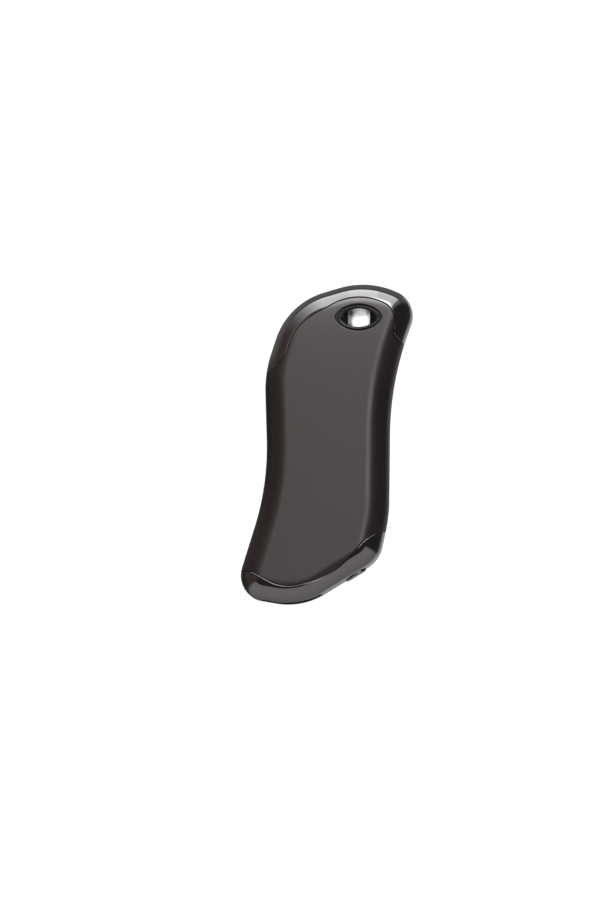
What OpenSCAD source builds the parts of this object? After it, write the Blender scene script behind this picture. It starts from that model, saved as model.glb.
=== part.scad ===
// Rechargeable hand warmer: an S-shaped pillow of two matte shells between two glossy end caps,
// with a lanyard eyelet, two ports, a sprung power button, two cells, two heaters and a board.
// Millimetres. +X to the right and +Y to the top of the front face, +Z out of that face.
// The origin is the middle of the flat back that the body lies on.

/* [Body] */
// Room beside the pair of cells, out to the waist
side_room = 4.275; // [4.2:0.1:6]
// How far each nose swings out past the waist
nose_out = 9.45; // [8.8:0.1:11]
// Length of the body past the cells, at the eyelet's end
eyelet_end = 25.8; // [25:0.2:30]
// How far the rounded side reaches in from the outline
edge_round = 8.5; // [7.8:0.1:9.2]
// Fullness of the rounded side, 2 for a plain ellipse
edge_power = 2.4; // [2.2:0.1:3]

/* [Walls and seams] */
// Wall of the matte shells
wall = 1.4; // [1.2:0.1:1.6]
// Visible gap between two shells or a shell and a cap
seam_gap = 0.2; // [0.1:0.05:0.4]
// Thickness of the lips that reach behind a neighbouring shell
lip_t = 0.85; // [0.6:0.05:1]
// How far those lips reach
lip_reach = 2.2; // [1.5:0.1:2.5]
// Clearance all round between pieces that locate each other
fit = 0.15; // [0.1:0.05:0.2]
// Film of adhesive or solder under a piece that is stuck down
bond = 0.05; // [0.02:0.01:0.08]

/* [Lanyard eyelet] */
// Bore that the lanyard goes through
hole_d = 6.5; // [4:0.1:7]
// Length of the oval opening in the shells
eyelet_l = 17.4; // [16:0.1:18.4]
// Height of the oval opening in the shells
eyelet_h = 10; // [9:0.1:10.6]
// Flat rim round the oval bowl
rim_w = 1; // [0.8:0.1:1.3]
// Radius of the flare from the bowl into the bore
flare_r = 9; // [8.5:0.1:10]

/* [Ports] */
// Outer width of the large output socket
usb_a_w = 13.1; // [13:0.1:13.4]
// Outer height of the large output socket
usb_a_h = 5.7; // [5.6:0.1:6]
// Depth of the large output socket
usb_a_l = 14; // [12:0.5:15]
// Outer width of the small charging socket
micro_w = 7.5; // [7.3:0.1:8]
// Outer height of the small charging socket
micro_h = 2.6; // [2.5:0.1:3]
// Depth of the small charging socket
micro_l = 5.6; // [5:0.1:6]
// Sheet that the sockets are folded from
socket_wall = 0.3; // [0.2:0.05:0.4]
// Height of the recess that both sockets open into
bay_h = 8.8; // [8.4:0.1:9.2]
// Depth of that recess from the end of the body
bay_depth = 5.4; // [5:0.1:6]
// Wall round that recess
bay_wall = 1.2; // [1:0.1:1.4]

/* [Button and lights] */
// Length of the power button
button_l = 8.6; // [8:0.1:9]
// Height of the power button
button_h = 5; // [4:0.1:5.4]
// How far the button stands out of the cap
button_proud = 0.6; // [0.5:0.05:1]
// How far the button can be pressed
button_travel = 0.4; // [0.2:0.05:0.5]
// Diameter of each charge light
light_d = 1.1; // [0.8:0.1:1.3]
// Spacing of the charge lights
light_pitch = 1.6; // [1.5:0.05:1.65]
// Number of charge lights
light_count = 4; // [3:1:4]

/* [Cells, board and heaters] */
// Diameter of a cell in its sleeve
cell_d = 18.35; // [17.5:0.05:18.4]
// Length of a cell with its positive button
cell_l = 65.2; // [64:0.1:65.6]
// Gap between the two cells
cell_gap = 0.35; // [0.3:0.05:0.6]
// Length of the circuit board, from the sockets to the cells
board_l = 20; // [19.5:0.5:24]
// Thickness of the circuit board
board_t = 1.2; // [0.8:0.1:1.4]
// Width of a heater film
film_w = 25; // [20:0.5:25.5]
// Length of a heater film
film_l = 60; // [50:1:61]
// Thickness of a heater film
film_t = 0.2; // [0.1:0.05:0.3]
// Thickness of the foam between a heater and the cells
foam_t = 1.875; // [1.6:0.1:2.4]
// Width of the heater track printed on the film
track_w = 1; // [0.8:0.1:1.4]
// Outer diameter of a cell lead
cell_lead_d = 1.1; // [0.8:0.1:1.2]
// Outer diameter of a heater lead
heater_lead_d = 0.8; // [0.6:0.1:1]

/* [Hidden] */
$fn = 48;

// The body is built round what it holds. These come to 26 mm thick, 45.6 mm across the waist,
// 64.5 mm over the noses and 120 mm long.
track_t = 0.15;
strip_t = 0.15;
card_t = 0.2;
end_wall = 1.6;
stack_t = strip_t + card_t + 3 * bond;
body_t = cell_d + 2 * (foam_t + track_t + film_t + wall + 4 * bond);
waist_w = 2 * cell_d + cell_gap + 2 * side_room;
body_w = waist_w + 2 * nose_out;
body_l = bay_depth + bay_wall + fit + board_l + fit + end_wall + stack_t + cell_l + eyelet_end;
mid = body_t / 2;
end_y = body_l / 2;
nose_x = body_w / 2;
waist_x = waist_w / 2;
cap_wall = wall + fit + lip_t;
outer_steps = 5;
inner_steps = 4;
far = 20;

// The outline, counterclockwise from the right nose. Each corner is [x, y, radius, arc steps],
// and the two waist corners bend the other way.
outline = [
    [nose_x + 2.6, end_y - 6.5, edge_round + 1, 7],
    [nose_x - 16.9, end_y + 1.8, 30.8, 5],
    [-waist_x + 8.1, end_y - 6.9, 26.9, 6],
    [-waist_x - 0.5, end_y - 33.1, 42.3, 3],
    [-waist_x + 0.7, -end_y + 44.8, 100.8, 5],
    [-nose_x - 2.9, -end_y + 3.1, edge_round + 1.2, 7],
    [-nose_x + 22.7, -end_y - 1.4, 26.5, 5],
    [waist_x - 3.2, -end_y + 16.4, 12.1, 5],
    [waist_x + 0.4, -end_y + 33.2, 60, 3],
    [waist_x + 1, end_y - 35.4, 116.2, 5]];
// Corner where the two strips of faces over a flat side start
crown = 10;

// The seam under the top cap, left to right: up the left side, over the eyelet and down to the right.
arch = [
    [-waist_x - 9.1, end_y - 38.65],
    [-waist_x + 7.1, end_y - 30.4, 12.9, 6],
    [-waist_x + 11.5, end_y - 16.6, 17.8, 4],
    [nose_x - 20.8, end_y - 3.6, 20.9, 6],
    [nose_x - 5.1, end_y - 10.3, 7.4, 7],
    [nose_x - 6.8, end_y - 19.9, 2.9, 4],
    [nose_x + 4.9, end_y - 29.3]];
// The seam over the bottom cap, left to right: a lazy S that falls and then climbs.
base = [
    [-nose_x - 7.6, -end_y + 11.6],
    [-nose_x + 4.7, -end_y + 11.6, 9.8, 3],
    [-nose_x + 16, -end_y + 5, 15.6, 5],
    [waist_x - 20.1, -end_y + 9.1, 32.5, 4],
    [waist_x - 7.1, -end_y + 24.3, 23.4, 4],
    [waist_x + 9.4, -end_y + 31.1]];

function unit(v) = v / norm(v);
function xy(p) = [p[0], p[1]];
function left_of(v) = [-v[1], v[0]];
function wrap180(a) = a - 360 * round(a / 360);
function half_angle(a, p, b) = acos(unit(xy(a) - xy(p)) * unit(xy(b) - xy(p))) / 2;

// Points of the arc that rounds corner p between a and b, moved d to the left of the path
function corner_arc(a, p, b, d) =
    let (u = unit(xy(a) - xy(p)),
         v = unit(xy(b) - xy(p)),
         half = half_angle(a, p, b),
         centre = xy(p) + unit(u + v) * p[2] / sin(half),
         start = xy(p) + u * p[2] / tan(half) - centre,
         end = xy(p) + v * p[2] / tan(half) - centre,
         from = atan2(start[1], start[0]),
         turn = wrap180(atan2(end[1], end[0]) - from),
         r = p[2] - sign(turn) * d)
    [for (j = [0:p[3]]) centre + r * [cos(from + turn * j / p[3]), sin(from + turn * j / p[3])]];

// A closed path of rounded corners, moved d inward
function loop(path, d = 0) =
    let (m = len(path))
    [for (i = [0:m - 1]) each corner_arc(path[(i + m - 1) % m], path[i], path[(i + 1) % m], d)];

// An open path of rounded corners, moved d to its left
function line(path, d = 0) =
    let (m = len(path),
         first = left_of(unit(xy(path[1]) - xy(path[0]))),
         last = left_of(unit(xy(path[m - 1]) - xy(path[m - 2]))))
    concat([xy(path[0]) + first * d],
        [for (i = [1:m - 2]) each corner_arc(path[i - 1], path[i], path[i + 1], d)],
        [xy(path[m - 1]) + last * d]);

function reversed(v) = [for (i = [len(v) - 1:-1:0]) v[i]];

// The rounded side as a superellipse: how far in, and how far up, at angle t from the mid-plane
function side_in(t) = 1 - pow(cos(t), 2 / edge_power);
function side_up(t) = pow(sin(t), 2 / edge_power);

// The body, shrunk by inset on every side. Its flat faces are two strips of triangles
// that run from the crown to the opposite end.
module pillow(inset, steps = inner_steps) {
    reach = edge_round - inset;
    rise = mid - inset;
    turns = [for (k = [-steps:steps]) k * 90 / steps];
    rings = len(turns);
    n = len(loop(outline));
    points = [for (t = turns) each
        [for (p = loop(outline, inset + reach * side_in(abs(t))))
            [p[0], p[1], mid + sign(t) * rise * side_up(abs(t))]]];
    function at(k, i) = k * n + (i + 2 * n) % n;
    function strip(k, up) = [for (j = [0:n / 2 - 1]) each
        let (a = at(k, crown + j), b = at(k, crown - j), c = at(k, crown + j + 1), d = at(k, crown - j - 1),
             pair = [if (j < n / 2 - 1) [a, d, c], if (j > 0) [a, b, d]])
        [for (f = pair) up ? f : reversed(f)]];
    sides = [for (k = [0:rings - 2]) for (i = [0:n - 1]) [at(k, i), at(k + 1, i), at(k + 1, i + 1), at(k, i + 1)]];
    polyhedron(points = points, faces = concat(sides, strip(rings - 1, true), strip(0, false)));
}

// Plan regions on either side of the two seams, each drawn back from its seam by gap
module shell_region(gap) {
    polygon(concat(line(arch, -gap), reversed(line(base, gap))));
}
module top_region(gap) {
    edge = line(arch, gap);
    polygon(concat(edge, [[nose_x + far, edge[len(edge) - 1][1]], [nose_x + far, end_y + far],
        [-nose_x - far, end_y + far], [-nose_x - far, edge[0][1]]]));
}
module bottom_region(gap) {
    edge = line(base, -gap);
    polygon(concat(reversed(edge), [[-nose_x - far, edge[0][1]], [-nose_x - far, -end_y - far],
        [nose_x + far, -end_y - far], [nose_x + far, edge[len(edge) - 1][1]]]));
}
module prism(z0, z1) {
    translate([0, 0, z0]) linear_extrude(z1 - z0) children();
}
module band(y0, y1) {
    translate([-nose_x - far, y0]) square([body_w + 2 * far, y1 - y0]);
}
// Extrudes a shape drawn in X and Z towards +Y
module along_y(depth) {
    rotate([-90, 0, 0]) linear_extrude(depth) children();
}
module rounded_rect(w, h, r) {
    square([w - 2 * r, h], center = true);
    square([w, h - 2 * r], center = true);
    for (x = [-1, 1], y = [-1, 1]) translate([x * (w / 2 - r), y * (h / 2 - r)]) circle(r);
}
module block(size, at) {
    translate([at[0] - size[0] / 2, at[1] - size[1] / 2, at[2]]) cube(size);
}
// Repeats what is drawn for the front at the same depth under the back
module for_back() {
    translate([0, 0, body_t]) mirror([0, 0, 1]) children();
}

// Lanyard eyelet
eyelet_at = [nose_x - 19.6, end_y - 13.65];
oval_power = 1.8;
module oval(grow) {
    a = eyelet_l / 2 + grow;
    b = eyelet_h / 2 + grow;
    polygon([for (t = [0:7.5:352.5]) [a * sign(cos(t)) * pow(abs(cos(t)), 2 / oval_power),
        b * sign(sin(t)) * pow(abs(sin(t)), 2 / oval_power)]]);
}
module eyelet_column(grow, z0, z1) {
    translate([eyelet_at[0], eyelet_at[1], 0]) prism(z0, z1) oval(grow);
}
// Throat and flare: the straight bore, and the round mouth that opens from it to the front face
throat_half = mid - flare_r - 0.4;
module flare() {
    steps = 12;
    r0 = hole_d / 2;
    translate([eyelet_at[0], eyelet_at[1], mid + throat_half]) rotate_extrude()
        polygon(concat([[0, -0.01], [r0, -0.01]],
            [for (k = [0:steps]) [r0 + flare_r * (1 - cos(90 * k / steps)), flare_r * sin(90 * k / steps)]],
            [[r0 + flare_r, mid], [0, mid]]));
}
module lanyard_eyelet() color([0.07, 0.07, 0.08]) {
    difference() {
        eyelet_column(-fit, fit, body_t - fit);
        translate([eyelet_at[0], eyelet_at[1], -1]) cylinder(d = hole_d, h = body_t + 2);
        bowl();
        for_back() bowl();
    }
}
module bowl() {
    intersection() {
        flare();
        eyelet_column(-fit - rim_w, mid, body_t + 1);
    }
}

// The straight facet at the bottom right that carries the button and the charge lights.
// Along runs up the facet, depth runs inward, lift runs towards the front.
facet_from = outline[6];
facet_to = outline[7];
facet_run = unit(xy(facet_to) - xy(facet_from));
facet_in = left_of(facet_run);
facet_tilt = atan2(facet_run[1], facet_run[0]);
facet_start = xy(facet_from) + facet_run * facet_from[2] / tan(half_angle(outline[5], facet_from, facet_to));
module at_facet(along, depth = 0, lift = 0) {
    p = facet_start + facet_run * along + facet_in * depth;
    translate([p[0], p[1], mid + lift]) rotate([0, 0, facet_tilt]) children();
}
light_along = 2.4;
flange_t = 0.8;
flange_over = 1.1;
light_end = light_along + (light_count - 1) * light_pitch + light_d / 2;
button_along = light_end + 0.65 + flange_over + button_l / 2;
// Clearance behind the cap's inner face, which bows in away from the mid-plane
bow_gap = 0.35;
flange_depth = cap_wall + bow_gap;
guide_depth = cap_wall + bow_gap;
guide_t = 1.1;
guide_end = 0.15;
module button_outline(grow) {
    l = button_l + 2 * grow;
    h = button_h + 2 * grow;
    square([l - h, h], center = true);
    for (s = [-1, 1]) translate([s * (l - h) / 2, 0]) circle(d = h);
}
module power_button() color([0.1, 0.1, 0.11]) {
    edge = 0.3;
    at_facet(button_along) {
        hull() {
            translate([0, -button_proud, 0]) along_y(edge) button_outline(-edge, $fn = 32);
            translate([0, -button_proud + edge, 0]) along_y(edge) button_outline(0, $fn = 32);
        }
        translate([0, -button_proud + 2 * edge, 0])
            along_y(flange_depth + flange_t + button_proud - 2 * edge) button_outline(0);
        translate([0, flange_depth, 0])
            along_y(flange_t) square([button_l + 2 * flange_over, button_h], center = true);
    }
}
module light_guide() color([0.85, 0.87, 0.9]) {
    bar_l = (light_count - 1) * light_pitch + light_d + 2 * guide_end;
    at_facet(light_along + (light_count - 1) * light_pitch / 2, guide_depth, board_top - mid + 2 * fit)
        translate([-bar_l / 2, 0, 0]) cube([bar_l, guide_t, mid - board_top + light_d]);
    for (k = [0:light_count - 1])
        at_facet(light_along + k * light_pitch, fit) rotate([-90, 0, 0]) cylinder(d = light_d, h = guide_depth);
}

// Port bay in the bottom cap, open towards -Y
bay_x0 = -nose_x + 6.6;
bay_x1 = bay_x0 + usb_a_w + micro_w + 3.2;
bay_y = -end_y + bay_depth;
bay_r = 1.2;
socket_y = bay_y + 0.1;
usb_a_x = bay_x0 + 0.85 + usb_a_w / 2;
micro_x = bay_x1 - 1.05 - micro_w / 2;
module bay(grow, y1) {
    translate([(bay_x0 + bay_x1) / 2, -end_y - 1, mid]) along_y(y1 + end_y + 1)
        rounded_rect(bay_x1 - bay_x0 + 2 * grow, bay_h + 2 * grow, bay_r + grow);
}

// Board and what stands on it. The large socket is centred on the mid-plane.
board_top = mid - usb_a_h / 2;
board_inset = cap_wall + 1;
board_front = bay_y + bay_wall + fit;
board_back = board_front + board_l;
cell_x = 0.7;
cell_pitch = cell_d + cell_gap;
wall_y0 = board_back + fit + end_wall;
cell_y0 = wall_y0 + stack_t;
cell_y1 = cell_y0 + cell_l;
wall_y1 = cell_y1 + stack_t;
screw_at = [[usb_a_x - 2.75, board_back - 2.9], [cell_x + 6.6, board_back - 2.9]];
web_screw_at = eyelet_at - [16.65, 5.85];
screw_d = 1.9;
screw_head_d = 3.6;
screw_head_t = 1.3;
post_d = 4.8;

module board_outline(inset, y0, y1) {
    intersection() {
        polygon(loop(outline, inset));
        band(y0, y1);
    }
}
module main_board() color([0.05, 0.35, 0.2]) {
    difference() {
        prism(board_top - board_t, board_top) board_outline(board_inset, board_front, board_back);
        for (p = screw_at) translate([p[0], p[1], 0]) cylinder(d = screw_d + 2 * fit, h = body_t);
    }
}
usb_a_r = 0.6;
module usb_a_shell() color("silver") {
    translate([usb_a_x, socket_y, mid]) difference() {
        along_y(usb_a_l) rounded_rect(usb_a_w, usb_a_h, usb_a_r);
        translate([0, -1, 0]) along_y(usb_a_l + 1 - socket_wall)
            rounded_rect(usb_a_w - 2 * socket_wall, usb_a_h - 2 * socket_wall, usb_a_r - socket_wall);
    }
}
tongue_w = 11.1;
tongue_t = 1.84;
tongue_l = 8.6;
tongue_lift = 0.9;
tongue_back = 0.4;
contact_t = 0.15;
contact_w = 1;
contact_pitch = 2.3;
module usb_a_tongue() color([0.9, 0.9, 0.88]) {
    base_w = usb_a_w - 2 * socket_wall - 2 * bond;
    base_h = usb_a_h - 2 * socket_wall - 2 * bond;
    base_l = usb_a_l - socket_wall - bond - tongue_back - tongue_l;
    translate([usb_a_x, socket_y + tongue_back, mid]) {
        translate([0, 0, tongue_lift]) along_y(tongue_l + 0.1) square([tongue_w, tongue_t], center = true);
        translate([0, tongue_l, 0]) along_y(base_l) rounded_rect(base_w, base_h, usb_a_r - socket_wall);
    }
}
module usb_a_contacts() color("gold") {
    for (k = [-1.5:1.5])
        translate([usb_a_x + k * contact_pitch - contact_w / 2, socket_y + 1.2,
            mid + tongue_lift - tongue_t / 2 - contact_t - bond])
            cube([contact_w, tongue_l - 1.4, contact_t]);
}
module micro_outline(inset) {
    w = micro_w / 2 - inset;
    h = micro_h / 2 - inset;
    cut = 0.9;
    polygon([[-w, -h], [w, -h], [w, h - cut], [w - cut, h], [-w + cut, h], [-w, h - cut]]);
}
module micro_usb_shell() color("silver") {
    translate([micro_x, socket_y, board_top + micro_h / 2]) difference() {
        along_y(micro_l) micro_outline(0);
        translate([0, -1, 0]) along_y(micro_l + 1 - socket_wall) micro_outline(socket_wall);
    }
}
micro_back = 0.5;
micro_base = 0.8;
module micro_usb_tongue() color([0.15, 0.15, 0.16]) {
    base_y = micro_l - socket_wall - bond - micro_base;
    translate([micro_x, socket_y, board_top + micro_h / 2]) {
        translate([0, micro_back, 0.3]) along_y(base_y - micro_back + 0.1) square([3.7, 0.6], center = true);
        translate([0, base_y, 0]) along_y(micro_base) micro_outline(socket_wall + bond);
    }
}
module chip_with_legs(at, w, l, h, legs) {
    standoff = 0.15;
    leg = [w + 2, 0.4, 0.3];
    leg_pitch = 1.27;
    block([w, l, h - standoff], [at[0], at[1], at[2] + standoff]);
    for (k = [0:legs - 1]) block(leg, [at[0], at[1] + (k - (legs - 1) / 2) * leg_pitch, at[2]]);
}
module controller_chips() color([0.12, 0.12, 0.13]) {
    x = usb_a_x + usb_a_w / 2;
    chip_with_legs([x + 3.5, board_back - 5.6, board_top], 3.9, 4.9, 1.5, 4);
    block([4, 4, 0.9], [x + 3.1, board_back - 11.8, board_top]);
}
module power_inductor() color([0.25, 0.25, 0.27]) {
    w = 6;
    base_h = 2.4;
    rim_h = 0.8;
    rim = 0.5;
    at_facet(light_along + 4.2, guide_depth + guide_t + 5.8, board_top - mid) {
        difference() {
            block([w, w, base_h + rim_h], [0, 0, 0]);
            translate([0, 0, base_h]) cylinder(d = w - 2 * rim, h = rim_h + 1);
        }
        translate([0, 0, base_h - 0.1]) cylinder(d = w - 2 * rim - 0.4, h = rim_h + 0.6);
    }
}
module board_capacitors() color([0.72, 0.6, 0.42]) {
    for (k = [0:2]) block([1.6, 2.8, 1.6], [cell_x - 3.9 + k * 2.2, board_back - 5, board_top]);
    for (k = [0:1]) block([3.2, 1.6, 1.6], [usb_a_x + 1.05 + k * 4, board_back - 3.6, board_top]);
}
module status_leds() color([0.95, 0.95, 0.8]) {
    led = [1, 0.8, 1.4];
    for (k = [0:light_count - 1])
        at_facet(light_along + k * light_pitch, guide_depth + guide_t + fit, board_top - mid)
            translate([-led[0] / 2, 0, 0]) cube(led);
}
switch_depth = flange_depth + flange_t + fit;
switch_bore = 1.8;
plunger_d = 3;
plunger_out = 2;
module switch_body() color([0.2, 0.2, 0.22]) {
    w = 6;
    d = 3.6;
    difference() {
        at_facet(button_along, switch_depth + plunger_out, board_top - mid) translate([-w / 2, 0, 0])
            cube([w, d, mid - board_top + plunger_d / 2 + 0.9]);
        at_facet(button_along, switch_depth + plunger_out - 1) rotate([-90, 0, 0])
            cylinder(d = plunger_d + 2 * fit, h = switch_bore + 1);
    }
}
module switch_plunger() color([0.85, 0.85, 0.82]) {
    at_facet(button_along, switch_depth) rotate([-90, 0, 0])
        cylinder(d = plunger_d, h = plunger_out + switch_bore - button_travel - 2 * fit);
}

// Cells, strips and end cards
module cell(x) {
    r = cell_d / 2;
    bead = 0.4;
    button = 0.9;
    button_r = 3.1;
    translate([x, cell_y0, mid]) rotate([-90, 0, 0]) rotate_extrude()
        polygon([[0, 0], [r - bead, 0], [r, bead], [r, cell_l - button - bead], [r - bead, cell_l - button],
            [button_r + 0.3, cell_l - button], [button_r, cell_l], [0, cell_l]]);
}
module battery_cell_left() color([0.15, 0.4, 0.65]) cell(cell_x - cell_pitch / 2);
module battery_cell_right() color([0.15, 0.4, 0.65]) cell(cell_x + cell_pitch / 2);
strip_h = 7;
tab_h = 4.9;
tab_w = 2;
module strip(y, tab_x) {
    w = cell_pitch + 7;
    translate([cell_x - w / 2, y, mid - strip_h / 2]) cube([w, strip_t, strip_h]);
    translate([tab_x - tab_w / 2, y, mid]) cube([tab_w, strip_t, tab_h]);
}
positive_lead_x = cell_x;
negative_lead_x = cell_x + 3.6;
module positive_strip() color("silver") strip(cell_y1 + bond, positive_lead_x);
module negative_strip() color("silver") strip(cell_y0 - bond - strip_t, negative_lead_x);
module card(y) {
    r = 3;
    translate([cell_x, y, mid]) along_y(card_t) rounded_rect(cell_pitch + 8, strip_h, r);
}
module positive_insulator() color([0.8, 0.75, 0.6]) card(cell_y1 + strip_t + 2 * bond);
module negative_insulator() color([0.8, 0.75, 0.6]) card(cell_y0 - strip_t - card_t - 2 * bond);

// Frame: side rails and end walls that cradle the cells, a tray under the board and a web to the eyelet
rail_half = 4;
frame_inset = cap_wall + 0.6;
tray_t = 1.8;
tray_top = board_top - board_t - fit;
web_half = 1.5;
web_end = eyelet_at[1] + eyelet_h / 2 + 1.6;
front_lead_x = cell_x - 4;
back_lead_x = cell_x - 10.4;
lead_pitch = 1.4;
module inner_frame() color([0.55, 0.57, 0.6]) {
    difference() {
        union() {
            prism(mid - rail_half, mid + rail_half) board_outline(frame_inset, wall_y0 - end_wall, wall_y1 + end_wall);
            prism(tray_top - tray_t, mid) board_outline(frame_inset + 0.8, wall_y0 - end_wall, wall_y0);
            prism(tray_top - tray_t, tray_top)
                board_outline(frame_inset + 0.8, board_front + 0.5, wall_y0 - end_wall + 0.1);
            prism(mid - web_half, mid + web_half) board_outline(frame_inset, wall_y1 + end_wall - 0.1, web_end);
        }
        for (s = [-1, 1]) translate([cell_x + s * cell_pitch / 2, wall_y0, mid]) rotate([-90, 0, 0])
            cylinder(d = cell_d + 2 * fit, h = wall_y1 - wall_y0);
        // Open valley between the cells, and room for the strips and cards at both ends
        block([5.5, wall_y1 - wall_y0, rail_half + 1], [cell_x, (wall_y0 + wall_y1) / 2, mid - 1]);
        for (y = [wall_y0, cell_y1]) translate([cell_x, y, mid]) along_y(stack_t)
            square([cell_pitch, strip_h + 2 * fit], center = true);
        // Notch that the leads cross the lower end wall through
        translate([cell_x - 11.7, wall_y0 - end_wall - 1, mid + 3.2]) cube([17, end_wall + 2, rail_half]);
        // Windows in the tray, under the socket and where the back heater's leads come up
        block([24, board_l / 2 + 0.5, body_t], [micro_x - 1.35, board_back - 12.2, 0]);
        block([6, 3.4, tray_top], [back_lead_x - 0.3, board_back - 2.2, 0]);
        for (p = screw_at) translate([p[0], p[1], 0]) cylinder(d = screw_d + 2 * fit, h = mid - 1);
        translate([web_screw_at[0], web_screw_at[1], 0]) cylinder(d = screw_d + 2 * fit, h = body_t);
        eyelet_column(0, 0, body_t);
    }
}
screw_bite = 4.5;
module screw(p, seat) {
    translate([p[0], p[1], seat]) {
        difference() {
            cylinder(d = screw_head_d, h = screw_head_t);
            for (a = [0, 90]) rotate([0, 0, a]) block([2, 0.5, 1], [0, 0, screw_head_t / 2]);
        }
    }
}
module case_screws() color([0.6, 0.6, 0.62]) {
    for (p = screw_at) {
        screw(p, board_top);
        translate([p[0], p[1], tray_top - tray_t - screw_bite])
            cylinder(d = screw_d, h = board_top - tray_top + tray_t + screw_bite);
    }
    screw(web_screw_at, mid + web_half);
    translate([web_screw_at[0], web_screw_at[1], mid - web_half - screw_bite])
        cylinder(d = screw_d, h = 2 * web_half + screw_bite);
}

// Heaters: a film glued inside each shell, its printed track, a foam pad and a thermistor in a slot
film_x = cell_x + 0.3;
film_y = (cell_y0 + cell_y1) / 2 - 1.1;
film_top = body_t - wall - bond;
track_top = film_top - film_t;
foam_top = track_top - track_t - bond;
foam_bottom = foam_top - foam_t;
thermistor_y = film_y - film_l / 2 + 11.5;
bead_d = 1.4;
bead_l = 3.4;
module heater_film_front() color([0.8, 0.5, 0.15]) {
    prism(film_top - film_t, film_top) translate([film_x, film_y]) rounded_rect(film_w, film_l, 2);
}
module heater_track_front() color([0.75, 0.75, 0.78]) {
    runs = 7;
    margin = 2;
    pitch = (film_w - 2 * margin - track_w) / (runs - 1);
    x0 = film_x - (film_w - track_w) / 2 + margin;
    y0 = film_y - film_l / 2 + margin;
    length = film_l - 2 * margin;
    prism(track_top - track_t, track_top - 0.001) {
        for (k = [0:runs - 1]) translate([x0 + k * pitch - track_w / 2, y0 + pitch / 2])
            square([track_w, length - pitch]);
        for (k = [0:runs - 2]) translate([x0 + (k + 0.5) * pitch, y0 + (k % 2 == 0 ? length - pitch / 2 : pitch / 2)])
            intersection() {
                difference() {
                    circle(d = pitch + track_w);
                    circle(d = pitch - track_w);
                }
                translate([-pitch, k % 2 == 0 ? 0 : -2 * pitch]) square(2 * pitch);
            }
    }
}
module foam_pad_front() color([0.85, 0.85, 0.88]) {
    difference() {
        prism(foam_bottom, foam_top) translate([film_x, film_y]) rounded_rect(film_w - 1, film_l - 2, 1.5);
        block([bead_d + 2 * fit, bead_l + 2 * fit, body_t], [film_x, thermistor_y, mid]);
    }
}
module thermistor_front() color([0.1, 0.1, 0.1]) {
    r = min((foam_top - foam_bottom) / 2 - bond, bead_d / 2);
    l = bead_l - bead_d;
    translate([film_x, thermistor_y - l / 2, (foam_top + foam_bottom) / 2]) {
        rotate([-90, 0, 0]) cylinder(r = r, h = l);
        for (y = [0, l]) translate([0, y, 0]) sphere(r = r);
    }
}

// Leads: round tubes that run in a plane of constant x, with their corners rounded off
function bend(a, p, b, r) =
    let (s = p + unit(a - p) * r, e = p + unit(b - p) * r)
    [for (t = [0:0.25:1]) (1 - t) * (1 - t) * s + 2 * t * (1 - t) * p + t * t * e];
function smooth(route, r) =
    concat([route[0]], [for (i = [1:len(route) - 2]) each bend(route[i - 1], route[i], route[i + 1], r)],
        [route[len(route) - 1]]);
module lead(x, route, d, r) {
    sides = 8;
    path = [for (p = smooth(route, r)) [x, p[0], p[1]]];
    n = len(path);
    ring = [for (i = [0:n - 1])
        let (t = unit(path[min(i + 1, n - 1)] - path[max(i - 1, 0)]), up = cross(t, [1, 0, 0]))
        for (k = [0:sides - 1]) path[i] + d / 2 * (cos(k * 360 / sides) * [1, 0, 0] + sin(k * 360 / sides) * up)];
    function at(i, k) = i * sides + (k % sides);
    polyhedron(points = ring, faces = concat(
        [[for (k = [0:sides - 1]) at(0, k)]],
        [[for (k = [sides - 1:-1:0]) at(n - 1, k)]],
        [for (i = [0:n - 2]) for (k = [0:sides - 1]) each
            [[at(i, k), at(i + 1, k), at(i + 1, k + 1)], [at(i, k), at(i + 1, k + 1), at(i, k + 1)]]]));
}
valley_z = mid + 4.4;
pad_y = board_back - 1.5;
module cell_lead_positive() color([0.8, 0.1, 0.1]) {
    lead(positive_lead_x, [[cell_y1 - bond, valley_z], [pad_y, valley_z], [pad_y, board_top + bond]],
        cell_lead_d, 1.2);
}
module cell_lead_negative() color([0.1, 0.1, 0.1]) {
    lead(negative_lead_x, [[cell_y0 - strip_t - 2 * bond, valley_z], [pad_y, valley_z], [pad_y, board_top + bond]],
        cell_lead_d, 1.2);
}
film_end = film_y - film_l / 2;
lead_z = track_top - track_t - heater_lead_d / 2 - bond;
module heater_leads_front() color([0.9, 0.9, 0.9]) {
    for (k = [0, 1]) lead(front_lead_x + (k - 0.5) * lead_pitch,
        [[film_end + 0.4, lead_z], [pad_y, lead_z], [pad_y, board_top + bond]], heater_lead_d, 2.5);
}
module heater_leads_back() color([0.9, 0.9, 0.9]) {
    for (k = [0, 1]) lead(back_lead_x + (k - 0.5) * lead_pitch,
        [[film_end + 0.4, body_t - lead_z], [pad_y, body_t - lead_z], [pad_y, board_top - board_t - bond]],
        heater_lead_d, 2);
}

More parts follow.
